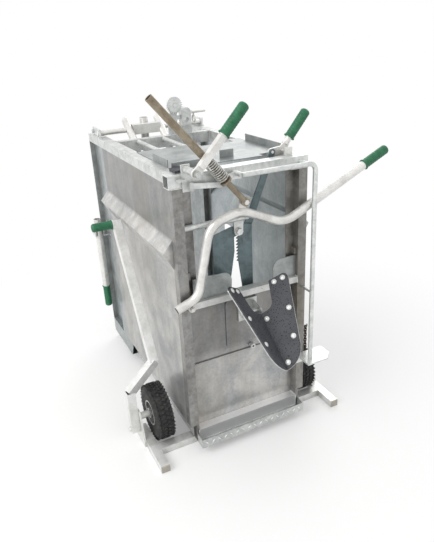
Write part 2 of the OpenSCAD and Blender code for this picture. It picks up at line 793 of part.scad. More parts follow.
// Arms, beam, socket tube and rump bar, which swing as one
module rump_gate() {
    lower_y = gate_y - 96;
    beam = 48;
    shaft_hole = gate_shaft_d + 2 * run_gap;
    color(bright_zinc) from_ground() difference() {
        union() {
            for (x = [arm_left, arm_right]) {
                rod([x, gate_y + 52, gate_z + 39], [x, lower_y, gate_z - 72], arm_d);
                rod([x, lower_y, gate_z - 72], [x, lower_y, rump_bar_z], arm_d);
                for (p = [[x, gate_y + 52, gate_z + 39], [x, lower_y, gate_z - 72], [x, lower_y, rump_bar_z]])
                    translate(p) sphere(d = arm_d);
            }
            for (z = [rump_bar_z, rump_bar_z + 220])
                rod([arm_left, lower_y, z], [arm_right, lower_y, z], arm_d - 8);
            translate([arm_left + arm_d / 2 - 4, gate_y - beam / 2, gate_z - beam / 2])
                cube([arm_right - arm_left - arm_d + 8, beam, beam]);
            rod([-25, gate_y + 44, gate_z - 230], [-25, gate_y + 44, gate_z + 49], 43);
        }
        translate([-200, gate_y, gate_z]) rotate([0, 90, 0]) cylinder(d = shaft_hole, h = 400);
        translate([arm_left + arm_d / 2 + 6, gate_y - beam / 2 + 3, gate_z - beam / 2 - 1])
            cube([arm_right - arm_left - arm_d - 12, beam - 6, beam - 3]);
        rod([-25, gate_y + 44, gate_z - 231], [-25, gate_y + 44, gate_z + 50], 37);
        for (x = [arm_left, arm_right])
            rod([x, lower_y, rump_bar_z - arm_d], [x, lower_y, gate_z - 90], arm_d - 2 * tube_wall);
    }
}

// Upright on the rear cross rail with the drum housing and the winch wheel's spindle
module winch_bracket() {
    at_y = cross_rail_y + cross_rail_d / 2;
    color(galvanised) from_ground() {
        translate([28, at_y - 5, crate_h]) cube([125, 10, 40]);
        translate([97, at_y - 22, crate_h + 40]) difference() {
            cube([48, 44, 62]);
            translate([24, -1, 28]) rotate([-90, 0, 0]) cylinder(d = 22, h = 46);
            translate([26, 22, 59]) rotate([0, 90, 0]) cylinder(d = pawl_d + 2 * run_gap, h = 30);
        }
        difference() {
            translate([121, at_y - 22, crate_h + 102]) rotate([-90, 0, 0]) cylinder(d = 48, h = 44);
            translate([123, at_y, crate_h + 99]) rotate([0, 90, 0]) cylinder(d = pawl_d + 2 * run_gap, h = 30);
        }
        translate([40, at_y - 5, crate_h + 40]) cube([36, 8, winch_at[1] - crate_h - 40]);
        translate([76, at_y - 5, crate_h + 70]) cube([22, 8, 20]);
        rod([winch_at[0], at_y - 34, winch_at[1]], [winch_at[0], at_y + 3, winch_at[1]], 12);
        translate([winch_at[0], at_y - 31, winch_at[1]]) rotate([90, 0, 0]) cylinder(d = 18, h = 4);
    }
}

module winch_wheel() {
    at_y = cross_rail_y + cross_rail_d / 2 - 30;
    root_r = winch_d / 2 - 6;
    color(dull_zinc) from_ground() translate([winch_at[0], at_y, winch_at[1]]) rotate([-90, 0, 0])
        difference() {
            union() {
                cylinder(r = root_r, h = 16);
                for (i = [0:winch_teeth - 1]) rotate([0, 0, i * 360 / winch_teeth])
                    translate([root_r - 2, -2.2, 0]) cube([8, 4.4, 16]);
                cylinder(d = 30, h = 23);
            }
            translate([0, 0, -1]) cylinder(d = 12 + 2 * run_gap, h = 30);
        }
}

// Pawl with its cross handle, turning on a pin in the drum housing
module winch_pawl() {
    at_y = cross_rail_y + cross_rail_d / 2;
    pawl_z = crate_h + 99;
    color(bright_zinc) from_ground() {
        translate([145.5, at_y - 8, pawl_z - 8]) cube([12, 16, 16]);
        rod([126, at_y, pawl_z], [232, at_y, pawl_z], pawl_d);
        translate([168, at_y, pawl_z - 33]) rotate([0, 90, 0]) rotate_extrude() translate([17, 0]) circle(d = 7);
        rod([168, at_y, pawl_z - 18], [168, at_y, pawl_z], 8);
    }
}

// Head bar, its rod and the lock

function head_points() = [
    [bar_pivot[0] - 63, bar_pivot[1] + 9],
    [bar_pivot[0] + 30, bar_pivot[1] + 42],
    [bar_pivot[0] + 95, bar_pivot[1] + 325],
    [bar_pivot[0] + 227, bar_pivot[1] + 358],
    [bar_pivot[0] + 423, bar_pivot[1] + 272],
    [bar_pivot[0] + 927, bar_pivot[1] + 503]
];

module head_bar() {
    hole = bar_bolt_d + 2 * run_gap;
    points = head_points();
    tip_dir = unit(points[5] - points[4]);
    color(bright_zinc) from_ground() {
        translate([0, bar_y, 0]) swept_tube(
            concat([for (i = [0:4]) points[i]], [points[5] - 12 * tip_dir]), [70, 90, 110, 110], bar_d, 3);
        difference() {
            along_y(bar_y - 5, 10) hull() {
                translate(bar_pivot) circle(d = bar_bolt_d + 16, $fn = 32);
                translate(bar_pivot + [-20, 18]) circle(d = 8, $fn = 32);
                translate(bar_pivot + [14, 28]) circle(d = 8, $fn = 32);
            }
            translate([bar_pivot[0], bar_y - 10, bar_pivot[1]]) rotate([-90, 0, 0])
                cylinder(d = hole, h = 20);
        }
        difference() {
            along_y(bar_y - 5, 10) hull() {
                translate(rod_foot) circle(d = 30, $fn = 32);
                translate(rod_foot - [14, 46]) square([28, 8]);
            }
            translate([rod_foot[0], bar_y - 10, rod_foot[1]]) rotate([-90, 0, 0]) cylinder(d = 11, h = 20);
        }
        rod([rod_foot[0], bar_y + 12, rod_foot[1]], [rod_foot[0], rod_y - 12, rod_foot[1]], 12);
        translate([rod_foot[0], bar_y + 14, rod_foot[1]]) rotate([90, 0, 0])
            cylinder(d = 20, h = 9, $fn = 6);
        translate([rod_foot[0], rod_y - 6.5, rod_foot[1]]) rotate([90, 0, 0])
            cylinder(d = 20, h = 8, $fn = 6);
    }
}

module head_bar_grip() {
    points = head_points();
    dir = unit(points[5] - points[4]);
    start = points[5] - dir * grip_l;
    color(green) from_ground() translate([start[0], bar_y, start[1]])
        rotate([0, 90 - atan2(dir[1], dir[0]), 0]) grip(bar_d, grip_l - 10);
}

function on_rod(s) = rod_foot + s * rod_dir;

// Places a piece along the rod, with +Z up the rod from the pin
module along_rod(s) {
    translate([on_rod(s)[0], rod_y, on_rod(s)[1]]) rotate([0, 90 - rod_tilt, 0]) children();
}

module friction_rod() {
    hole = 12 + 2 * run_gap;
    color("#a89c88") from_ground() {
        difference() {
            union() {
                along_rod(12) cylinder(d = rod_d, h = spring_end - 8);
                along_y(rod_y - 6, 12) translate(rod_foot) circle(d = 34);
                along_rod(spring_start - 8) cylinder(d = spring_od, h = 8);
                along_rod(spring_end) cylinder(d = spring_od, h = 6);
                along_rod(spring_end) difference() {
                    cylinder(d = rod_tube_d, h = rod_l - spring_end);
                    translate([0, 0, 40]) cylinder(d = rod_tube_d - 6, h = rod_l);
                }
            }
            translate([rod_foot[0], rod_y - 20, rod_foot[1]]) rotate([-90, 0, 0]) cylinder(d = hole, h = 40);
        }
    }
}

spring_r = (spring_od - spring_wire) / 2;
spring_sides = 6;
spring_rings = 8 * spring_turns;
// Height of ring k above the spring's seat, between two straight ends
function spring_z(k) = spring_wire + (spring_l - 2 * spring_wire) * k / spring_rings;
function spring_centre(k) = [spring_r * cos(k * 45), spring_r * sin(k * 45), spring_z(k)];
spring_route = concat(
    [[spring_r, 0, 0.3]],
    [for (k = [0:spring_rings]) spring_centre(k)],
    [[spring_r, 0, spring_l - 0.3]]);
// Radial direction at ring i of the route
function spring_out(i) =
    let (k = min(max(i - 1, 0), spring_rings)) [cos(k * 45), sin(k * 45), 0];
spring_climb = atan2((spring_l - 2 * spring_wire) / spring_turns, 2 * PI * spring_r);
// Second direction of the ring's circle: level at the straight ends, steep along the turns
function spring_up(i) =
    let (k = min(max(i - 1, 0), spring_rings), a = k * 45,
         tilt = i == 0 || i == spring_rings + 2 ? 90 : i == 1 || i == spring_rings + 1 ? 45 : spring_climb)
    [-sin(tilt) * -sin(a), -sin(tilt) * cos(a), cos(tilt)];
spring_gap = min([for (k = [0:spring_rings - 8]) norm(spring_centre(k + 8) - spring_centre(k))]) - spring_wire;
echo(spring_least_gap = spring_gap);

module rod_spring() {
    n = len(spring_route);
    ring_points = [for (i = [0:n - 1]) for (j = [0:spring_sides - 1])
        spring_route[i] + spring_wire / 2 * (cos(60 * j) * spring_out(i) + sin(60 * j) * spring_up(i))];
    walls = [for (i = [0:n - 2]) for (j = [0:spring_sides - 1])
        let (a = i * spring_sides + j, b = i * spring_sides + (j + 1) % spring_sides)
        each [[a, b, a + spring_sides], [b, b + spring_sides, a + spring_sides]]];
    caps = [for (j = [1:spring_sides - 2]) each
        [[0, j + 1, j], [(n - 1) * spring_sides, (n - 1) * spring_sides + j, (n - 1) * spring_sides + j + 1]]];
    color(bright_zinc) from_ground() along_rod(spring_start)
        polyhedron(points = ring_points, faces = concat(walls, caps));
}

// Places a piece along the lock lever, with +Z up the lever from its pivot
module along_lock(s) {
    translate([lock_pivot[0] + s * lock_dir[0], lock_y, lock_pivot[1] + s * lock_dir[1]])
        rotate([0, 90 - lock_angle, 0]) children();
}

module lock_lever() {
    color(bright_zinc) from_ground() difference() {
        union() {
            along_lock(26) translate([-lock_tube / 2, -lock_tube / 2, 0])
                box_tube([lock_tube, lock_tube, lock_tip - 26 - grip_l], 2);
            along_lock(lock_tip - grip_l - 4) cylinder(d = lock_tube + 8, h = 4);
            along_lock(lock_tip - grip_l - 3) cylinder(d = lock_tube - 2, h = grip_l - 9);
            along_lock(26) translate([-lock_tube / 2, -lock_tube / 2, 0]) cube([lock_tube, lock_tube, 5]);
            along_y(lock_y - 5, 10) hull() {
                translate(lock_pivot) circle(r = 17, $fn = 32);
                translate(lock_pivot + 24 * lock_dir) circle(r = 14, $fn = 32);
            }
        }
        translate([lock_pivot[0], lock_y - 20, lock_pivot[1]]) rotate([-90, 0, 0])
            cylinder(d = lock_bolt_d + 2 * run_gap, h = 40);
    }
}

module lock_lever_grip() {
    color(green) from_ground() along_lock(lock_tip - grip_l) grip(lock_tube - 2, grip_l - 12);
}

// Neck yoke

// The left leaf hangs behind the drop plate. Its inner edge leans away from the middle
module yoke_leaf_left() {
    hole = yoke_bolt_d + 2 * run_gap;
    color(dull_zinc) from_ground() difference() {
        along_y(yoke_y - leaf_t - side_gap / 2, leaf_t) {
            polygon([[-112, 640], [-58, 640], [-15, 878], [-15, 940], [20, 952], [20, 982], [-24, 986], [-112, 962]]);
        }
        translate([yoke_pivot[0], yoke_y - 30, yoke_pivot_z]) rotate([-90, 0, 0]) cylinder(d = hole, h = 60);
    }
}

// The right leaf carries a toothed plate in front and an ear for the link
module yoke_leaf_right() {
    hole = yoke_bolt_d + 2 * run_gap;
    tooth_h = 14;
    color(dull_zinc) from_ground() difference() {
        union() {
            along_y(yoke_y + side_gap / 2, leaf_t) {
                polygon([[30, 640], [72, 640], [72, 978], [40, 986], [-14, 982], [-14, 948], [10, 940], [6, 830]]);
                for (i = [0:7]) translate([6, 826 + i * tooth_h])
                    polygon([[9, -1], [9, tooth_h + 1], [3, tooth_h], [-8, tooth_h * 0.35], [3, 0]]);
            }
        }
        translate([yoke_pivot[0], yoke_y - 30, yoke_pivot_z]) rotate([-90, 0, 0]) cylinder(d = hole, h = 60);
    }
    color(bright_zinc) from_ground() {
        rod([yoke_pivot[0] + link_arm, yoke_y + side_gap / 2 + 1, yoke_pivot_z],
            [yoke_pivot[0] + link_arm, yoke_y + side_gap / 2 + leaf_t + 16, yoke_pivot_z], 12);
    }
}

link_y = yoke_y + side_gap / 2 + leaf_t + side_gap;
link_top = yoke_lever_pivot - [link_arm, 0];
link_foot = yoke_pivot + [link_arm, 0];

// Flat link from the yoke lever's arm to the right leaf. Its lower eye is wide
module yoke_link() {
    color(galvanised) from_ground() difference() {
        along_y(link_y, 6) hull() {
            translate(link_top) circle(r = 13, $fn = 32);
            translate(link_foot) circle(r = 18, $fn = 32);
        }
        translate([link_top[0], link_y - 5, link_top[1]]) rotate([-90, 0, 0])
            cylinder(d = 12 + 2 * run_gap, h = 20);
        translate([link_foot[0], link_y - 5, link_foot[1]]) rotate([-90, 0, 0]) cylinder(d = 20, h = 20);
    }
}

lever_dir = [cos(yoke_lever_angle), sin(yoke_lever_angle)];
// Places a piece along the yoke lever, with +Z up the lever from its pivot
module along_yoke_lever(s) {
    translate([yoke_lever_pivot[0] + s * lever_dir[0], link_y + 6 + side_gap + 10, yoke_lever_pivot[1] + s * lever_dir[1]])
        rotate([0, 90 - yoke_lever_angle, 0]) children();
}

module yoke_lever() {
    arm_y = link_y + 6 + side_gap;
    color(bright_zinc) from_ground() difference() {
        union() {
            along_y(arm_y, 8) hull() {
                translate(link_top) circle(r = 13, $fn = 32);
                translate(yoke_lever_pivot) circle(r = 18, $fn = 32);
            }
            along_y(arm_y, 8) hull() {
                translate(yoke_lever_pivot) circle(r = 18, $fn = 32);
                translate(yoke_lever_pivot + 34 * lever_dir) circle(r = 12, $fn = 32);
            }
            along_yoke_lever(28) cylinder(d = 28, h = yoke_lever_l - 28 - 12);
            rod([link_top[0], link_y - 2, link_top[1]], [link_top[0], arm_y + 1, link_top[1]], 12);
        }
        translate([yoke_lever_pivot[0], arm_y - 10, yoke_lever_pivot[1]]) rotate([-90, 0, 0])
            cylinder(d = 14 + 2 * run_gap, h = 40);
    }
}

module yoke_lever_grip() {
    color(green) from_ground() along_yoke_lever(yoke_lever_l - grip_l) grip(28, grip_l - 12);
}

// Chin cradle

// Carries a flap's own plane into place: x across the flap from the fold, y back along the fold
module on_flap(side) {
    translate(cradle_fold) rotate([cradle_pitch, 0, 0]) mirror([side < 0 ? 1 : 0, 0, 0])
        rotate([0, -flap_tilt, 0]) children();
}

// Outline of one flap: a prong beside the throat cut-out and a rounded tip at the front
module flap_outline(edge) {
    tip_r = 104;
    corner_r = 20;
    throat_r = 40;
    throat_w = 96;
    offset(delta = -edge) difference() {
        intersection() {
            translate([0, -cradle_l]) square([flap_w, cradle_l + prong_l]);
            hull() {
                translate([0, tip_r - cradle_l]) circle(r = tip_r, $fn = 32);
                translate([flap_w - corner_r, prong_l - corner_r]) circle(r = corner_r, $fn = 32);
                translate([0, prong_l - corner_r]) square([10, corner_r]);
            }
        }
        hull() {
            translate([throat_r - 6, throat_r]) circle(r = throat_r, $fn = 32);
            translate([-2, 0]) square([throat_r - 4, 2 * throat_r]);
            translate([-2, prong_l]) square([throat_w + 2, 2]);
        }
    }
}

// Place in the Y-Z plane at s forward along the fold and h above it
function at_fold(s, h) = [
    cradle_fold[1] - s * cos(cradle_pitch) - h * sin(cradle_pitch),
    cradle_fold[2] - s * sin(cradle_pitch) + h * cos(cradle_pitch)
];

module cradle_plate() {
    x0 = cradle_fold[0];
    boss_w = 2 * (28 - 3.5 - side_gap);
    color(dull_zinc) from_ground() {
        for (side = [-1, 1]) on_flap(side) linear_extrude(cradle_t) flap_outline(0);
        difference() {
            union() {
                translate([x0 - boss_w / 2, hinge_y, hinge_z]) rotate([0, 90, 0]) cylinder(d = 28, h = boss_w);
                for (x = [x0 - 20, x0 + 12])
                    translate([x, 0, 0]) rotate([90, 0, 90]) linear_extrude(8) hull() {
                        translate([hinge_y, hinge_z]) circle(r = 13, $fn = 32);
                        translate(at_fold(12, 2)) circle(r = 12, $fn = 32);
                        translate(at_fold(220, 4)) circle(r = 10, $fn = 32);
                    }
            }
            translate([x0 - 60, hinge_y, hinge_z]) rotate([0, 90, 0])
                cylinder(d = cradle_pin_d + 2 * run_gap, h = 120);
        }
    }
}

module cradle_liner() {
    color(black) from_ground() for (side = [-1, 1])
        on_flap(side) translate([0, 0, cradle_t]) linear_extrude(liner_t) intersection() {
            flap_outline(1);
            translate([liner_t, -cradle_l]) square([flap_w, cradle_l + prong_l]);
        }
}

// Places of the round-headed bolts on a flap: across, then back along the fold
bolt_places = [[155, 91], [116, 93], [122, -34], [87, -145]];
// Two more on the right flap, close to the fold
fold_bolts = [[21, -32], [21, -228]];

module cradle_bolts() {
    color("#e8e9e6") from_ground() for (side = [-1, 1])
        for (p = side > 0 ? concat(bolt_places, fold_bolts) : bolt_places)
            on_flap(side) translate([p[0], p[1], cradle_t + liner_t]) rotate_extrude()
                polygon([[0, 0], [11, 0], [11, 1.5], [8, 4], [3, 5.5], [0, 5.5]]);
}

// Wheels and their frame

module skids() {
    color(bright_zinc) from_ground() both_sides() translate([skid_in, skid_front, 0]) {
        box_tube([skid_w, skid_l, skid_h], 1);
        translate([tube_wall, 5, tube_wall]) cube([skid_w - 2 * tube_wall, 3, skid_h - 2 * tube_wall]);
    }
}

// Square tube whose two round journals turn in the saddles under the floor pan
module cross_tube() {
    color(bright_zinc) from_ground() {
        difference() {
            translate([-skid_in, cross_y - cross_d / 2, 0]) box_tube([2 * skid_in, cross_d, skid_h], 0);
            both_sides() translate([journal_x - journal_l / 2, cross_y - cross_d, -1])
                cube([journal_l, 2 * cross_d, skid_h + 2]);
        }
        both_sides() translate([journal_x - journal_l / 2 - 2, cross_y, cross_z]) rotate([0, 90, 0])
            cylinder(d = skid_h - 1, h = journal_l + 4);
    }
}

// Upright plates on the skids, each with a stub axle and the bolt of the lever
module wheel_brackets() {
    color(bright_zinc) from_ground() both_sides() {
        rotate([90, 0, 90]) translate([0, 0, skid_out]) linear_extrude(wheel_bracket_t) hull() {
            translate([axle_y - 60, 0]) square([120, 30]);
            translate([axle_y, axle_z + 10]) circle(r = 28, $fn = 32);
        }
        rod([skid_out + 0.5, axle_y, axle_z], [stub_in - 8, axle_y, axle_z], axle_d);
        translate([wheel_x + tyre_w / 2 + 1, axle_y, axle_z]) rotate([0, 90, 0])
            cylinder(d = axle_d + 12, h = skid_out + 1 - wheel_x - tyre_w / 2);
        translate([stub_in - 6, axle_y, axle_z]) rotate([0, 90, 0]) cylinder(d = axle_d + 8, h = 8);
    }
}

module rim() {
    translate([wheel_x - tyre_w / 2, axle_y, axle_z]) rotate([0, 90, 0]) difference() {
        union() {
            translate([0, 0, 4]) cylinder(d = 116, h = tyre_w - 8);
            cylinder(d = 46, h = tyre_w);
        }
        for (z = [-1, tyre_w / 2 + 8]) translate([0, 0, z]) difference() {
            cylinder(d = 104, h = tyre_w / 2 - 7);
            translate([0, 0, -1]) cylinder(d = 46, h = tyre_w);
        }
        translate([0, 0, -1]) cylinder(d = axle_d + 2 * run_gap, h = tyre_w + 2);
    }
}

module rim_left() {
    color(galvanised) from_ground() mirror([1, 0, 0]) rim();
}

module rim_right() {
    color(galvanised) from_ground() rim();
}

module tyre() {
    r = tyre_d / 2;
    half = tyre_w / 2;
    translate([wheel_x, axle_y, axle_z]) rotate([0, 90, 0]) rotate_extrude($fn = 96) polygon([
        [58, 4 - half], [r - 34, 4 - half], [r - 22, -half], [r - 12, 2 - half], [r - 2.5, 14 - half],
        [r, -12], [r, 12], [r - 2.5, half - 14], [r - 12, half - 2], [r - 22, half],
        [r - 34, half - 4], [58, half - 4]
    ]);
}

module tyre_left() {
    color(black) from_ground() mirror([1, 0, 0]) tyre();
}

module tyre_right() {
    color(black) from_ground() tyre();
}

// Square tube from p to q in a plane square to X, with one face towards X
module square_run(p, q, s) {
    v = q - p;
    translate(p) rotate([-atan2(v[1], v[2]), 0, 0]) translate([-s / 2, -s / 2, 0])
        box_tube([s, s, norm(v)], 2);
}

// Solid square bar between two points, reaching a little into what it joins
module square_link(p, q, s, reach) {
    v = q - p;
    translate(p) rotate([0, acos(v[2] / norm(v)), atan2(v[1], v[0])]) translate([-s / 2, -s / 2, -reach])
        cube([s, s, norm(v) + 2 * reach]);
}

module wheel_lever() {
    s = lever_s;
    grip_z = lever_top + 6;
    foot_block = [s - tube_wall, s - tube_wall, 34];
    color(bright_zinc) from_ground() {
        square_run(lever_knee, lever_tip + 20 * unit(lever_tip - lever_knee), s);
        square_link(lever_knee, lever_elbow, s - 2, 6);
        square_run(lever_foot, lever_elbow, s);
        translate([lever_tip[0], lever_tip[1], grip_z]) rotate([0, -90, 0])
            cylinder(d = 28, h = s / 2 + 4 + lever_grip_l - 12);
        translate([lever_tip[0] - s / 2 + 1, lever_tip[1], grip_z]) rotate([0, -90, 0])
            cylinder(d = 46, h = 5);
        translate([-lever_out_x - foot_block[0] / 2, lever_foot[1] - foot_block[1] / 2, 62]) cube(foot_block);
        bolt_left([1 - lever_out_x - s / 2, axle_y, 76], 14);
        translate([-lever_out_x + s / 2 - 1, axle_y - 12, 66]) cube([1.5, 24, 24]);
    }
}

module wheel_lever_grip() {
    color(green) from_ground() translate([lever_tip[0] - lever_s / 2 - 4, lever_tip[1], lever_top + 6])
        rotate([0, -90, 0]) grip(28, lever_grip_l - 12, lever_grip_l);
}

// Carrying handle that hangs by the rear corner and folds back and up
module carry_handle() {
    top = handle_pivot_z + 65;
    difference() {
        translate([handle_x, handle_y, handle_pivot_z - handle_drop + 12]) difference() {
            cylinder(d = handle_d, h = top - handle_pivot_z + handle_drop - 12);
            translate([0, 0, -1]) cylinder(d = handle_d - 2 * tube_wall, h = handle_drop * 2);
        }
        translate([0, handle_y, handle_pivot_z]) rotate([0, 90, 0])
            cylinder(d = handle_bolt_d + 2 * run_gap, h = crate_w);
    }
}

module carry_handle_left() {
    color(bright_zinc) from_ground() mirror([1, 0, 0]) carry_handle();
}

module carry_handle_right() {
    color(bright_zinc) from_ground() carry_handle();
}

module carry_grip() {
    translate([handle_x, handle_y, handle_pivot_z - handle_drop + grip_l]) rotate([180, 0, 0])
        grip(handle_d, grip_l - 12);
}

module carry_grip_left() {
    color(green) from_ground() mirror([1, 0, 0]) carry_grip();
}

module carry_grip_right() {
    color(green) from_ground() carry_grip();
}

// Pivots on the frame: the head bar's boss and bolt, and the yoke lever's bearing plate and pin
module frame_bolts() {
    color(bright_zinc) from_ground() {
        rod([bar_pivot[0], front_y, bar_pivot[1]], [bar_pivot[0], bar_y + 5 + side_gap, bar_pivot[1]],
            2 * bar_bolt_d);
        rod([bar_pivot[0], bar_y + 6, bar_pivot[1]], [bar_pivot[0], bar_y - 5 - side_gap - 8, bar_pivot[1]],
            bar_bolt_d);
        bolt_front([bar_pivot[0], bar_y - 5 - side_gap, bar_pivot[1]], 0.85 * bar_bolt_d);
        difference() {
            translate([yoke_lever_pivot[0] - 18, front_y + 38, crate_h]) cube([36, 8, 31]);
            translate([yoke_lever_pivot[0], front_y + 37, yoke_lever_pivot[1]]) rotate([-90, 0, 0])
                cylinder(d = 13, h = 10);
        }
        rod([yoke_lever_pivot[0], front_y + 36, yoke_lever_pivot[1]],
            [yoke_lever_pivot[0], link_y + 14 + 4 * side_gap, yoke_lever_pivot[1]], 14);
    }
}

front_post_left();
front_post_right();
front_top_rail();
front_mid_rail();
front_bottom_rail();
lower_front_panel();
side_panel_left();
side_panel_right();
top_rail_left();
top_rail_right();
rear_post_left();
rear_post_right();
rear_cross_rail();
floor_pan();
rear_runners();
yoke_guides();
yoke_support();
top_cover();
cover_rods();
rubber_pad();
keeper_hoop();
foot_plate();
lock_bracket();
restraint_chain();
cradle_bracket();
handle_brackets();
gate_brackets();
winch_bracket();
head_bar();
head_bar_grip();
friction_rod();
rod_spring();
lock_lever();
lock_lever_grip();
yoke_lever();
yoke_lever_grip();
yoke_link();
yoke_leaf_left();
yoke_leaf_right();
cradle_plate();
cradle_liner();
cradle_bolts();
skids();
cross_tube();
wheel_brackets();
rim_left();
rim_right();
tyre_left();
tyre_right();
wheel_lever();
wheel_lever_grip();
carry_handle_left();
carry_handle_right();
carry_grip_left();
carry_grip_right();
gate_shaft();
rump_gate();
winch_wheel();
winch_pawl();
frame_bolts();
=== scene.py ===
import math

import bmesh
import bpy
from mathutils import Matrix, Vector


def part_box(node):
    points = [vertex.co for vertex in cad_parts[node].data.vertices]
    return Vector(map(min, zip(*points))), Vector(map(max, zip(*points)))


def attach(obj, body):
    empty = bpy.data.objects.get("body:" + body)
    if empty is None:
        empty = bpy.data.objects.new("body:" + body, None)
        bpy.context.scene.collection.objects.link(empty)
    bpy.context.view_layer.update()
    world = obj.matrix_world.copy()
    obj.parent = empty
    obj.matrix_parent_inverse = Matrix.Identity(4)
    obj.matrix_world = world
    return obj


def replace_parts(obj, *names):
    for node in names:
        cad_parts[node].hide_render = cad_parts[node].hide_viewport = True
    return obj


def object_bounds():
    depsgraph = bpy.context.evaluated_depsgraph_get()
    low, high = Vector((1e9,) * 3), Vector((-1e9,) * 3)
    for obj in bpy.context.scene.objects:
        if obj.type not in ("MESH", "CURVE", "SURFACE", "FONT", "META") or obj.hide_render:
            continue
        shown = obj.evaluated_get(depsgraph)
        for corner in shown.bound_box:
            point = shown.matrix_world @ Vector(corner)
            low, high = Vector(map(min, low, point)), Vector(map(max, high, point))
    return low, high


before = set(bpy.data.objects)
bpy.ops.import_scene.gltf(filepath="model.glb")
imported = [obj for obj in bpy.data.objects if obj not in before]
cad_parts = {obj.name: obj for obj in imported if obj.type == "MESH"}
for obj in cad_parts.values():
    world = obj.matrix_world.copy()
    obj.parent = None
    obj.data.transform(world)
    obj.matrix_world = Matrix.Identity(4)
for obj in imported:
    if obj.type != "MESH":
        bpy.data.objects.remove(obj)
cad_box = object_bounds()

# Camera. It stands ahead and to the left of the crate, a little above its top rails, where
# the photograph was taken from: heading, tilt and roll are those of the crate's straight edges.
photo_height_px = 542
focal_px = 534.8
eye = Vector((-0.9565, -2.3184, 1.6506))
heading = math.radians(-25.44)
tilt = math.radians(23.95)
roll = math.radians(-2.85)

back = Vector((math.sin(heading) * math.cos(tilt), -math.cos(heading) * math.cos(tilt), math.sin(tilt)))
level_right = Vector((math.cos(heading), math.sin(heading), 0))
level_up = back.cross(level_right)
right = math.cos(roll) * level_right + math.sin(roll) * level_up
up = -math.sin(roll) * level_right + math.cos(roll) * level_up
camera = bpy.data.objects.new("camera", bpy.data.cameras.new("camera"))
bpy.context.scene.collection.objects.link(camera)
camera.data.sensor_fit = "VERTICAL"
camera.data.sensor_height = 36
camera.data.lens = focal_px / photo_height_px * camera.data.sensor_height
camera.matrix_world = Matrix.Translation(eye) @ Matrix((right, up, back)).transposed().to_4x4()
bpy.context.scene.camera = camera


def linear(code):
    """An sRGB hex colour as linear light, with full alpha."""
    parts = [int(code[i:i + 2], 16) / 255 for i in (1, 3, 5)]
    return tuple(c / 12.92 if c <= 0.04045 else ((c + 0.055) / 1.055) ** 2.4 for c in parts) + (1,)


def add(tree, kind, settings=(), links=()):
    """Adds a node, sets its properties or inputs by name, and joins sockets to its inputs."""
    made = tree.nodes.new(kind)
    for key, value in dict(settings).items():
        if isinstance(key, int) or key in made.inputs:
            made.inputs[key].default_value = value
        else:
            setattr(made, key, value)
    for key, socket in dict(links).items():
        tree.links.new(socket, made.inputs[key])
    return made


def bump(tree, shader, height, strength, distance):
    """Raises a surface a little by the value of a socket."""
    relief = add(tree, "ShaderNodeBump", {"Strength": strength, "Distance": distance}, {"Height": height})
    tree.links.new(relief.outputs[0], shader.inputs["Normal"])


def seen_directly(tree):
    """1 for what the camera sees, straight, mirrored or through glass, and 0 for diffuse light."""
    rays = add(tree, "ShaderNodeLightPath")
    mirrored = add(tree, "ShaderNodeMath", {"operation": "MAXIMUM"},
                   {0: rays.outputs["Is Camera Ray"], 1: rays.outputs["Is Glossy Ray"]})
    return add(tree, "ShaderNodeMath", {"operation": "MAXIMUM"},
               {0: mirrored.outputs[0], 1: rays.outputs["Is Transmission Ray"]}).outputs[0]


# Studio. A pale paper floor that fades into a white room. The light is soft and comes mostly from
# above, with one large lamp on the left, so tops are bright and the front keeps a softer tone.
ground_z = cad_box[0][2]
floor_size = 60
floor_drop = 0.0005
fade_start = 0.9
fade_end = 2.0
bm = bmesh.new()
bmesh.ops.create_grid(bm, x_segments=1, y_segments=1, size=floor_size / 2)
bmesh.ops.translate(bm, verts=bm.verts, vec=(0, 0, ground_z - floor_drop))
floor = bpy.data.objects.new("studio_floor", bpy.data.meshes.new("studio_floor"))
bm.to_mesh(floor.data)
bm.free()
bpy.context.scene.collection.objects.link(floor)
paper = bpy.data.materials.new("floor_paper")
paper.use_nodes = True
paper.node_tree.nodes.clear()
matt = add(paper.node_tree, "ShaderNodeBsdfDiffuse", {"Color": linear("#b9bab8")})
white = add(paper.node_tree, "ShaderNodeBsdfDiffuse", {"Color": linear("#fbfbfa")})
place = add(paper.node_tree, "ShaderNodeTexCoord").outputs["Object"]
reach = add(paper.node_tree, "ShaderNodeVectorMath", {"operation": "LENGTH"}, {0: place})
fade = add(paper.node_tree, "ShaderNodeMapRange",
           {"From Min": fade_start, "From Max": fade_end, "To Min": 0.2, "To Max": 1},
           {"Value": reach.outputs["Value"]})
glow = add(paper.node_tree, "ShaderNodeEmission", {"Color": (1, 1, 1, 1), "Strength": 1.0})
lit = add(paper.node_tree, "ShaderNodeMixShader", {},
          {0: fade.outputs[0], 1: white.outputs[0], 2: glow.outputs[0]})
seen = add(paper.node_tree, "ShaderNodeMixShader", {},
           {0: seen_directly(paper.node_tree), 1: matt.outputs[0], 2: lit.outputs[0]})
add(paper.node_tree, "ShaderNodeOutputMaterial", {}, {"Surface": seen.outputs[0]})
floor.data.materials.append(paper)

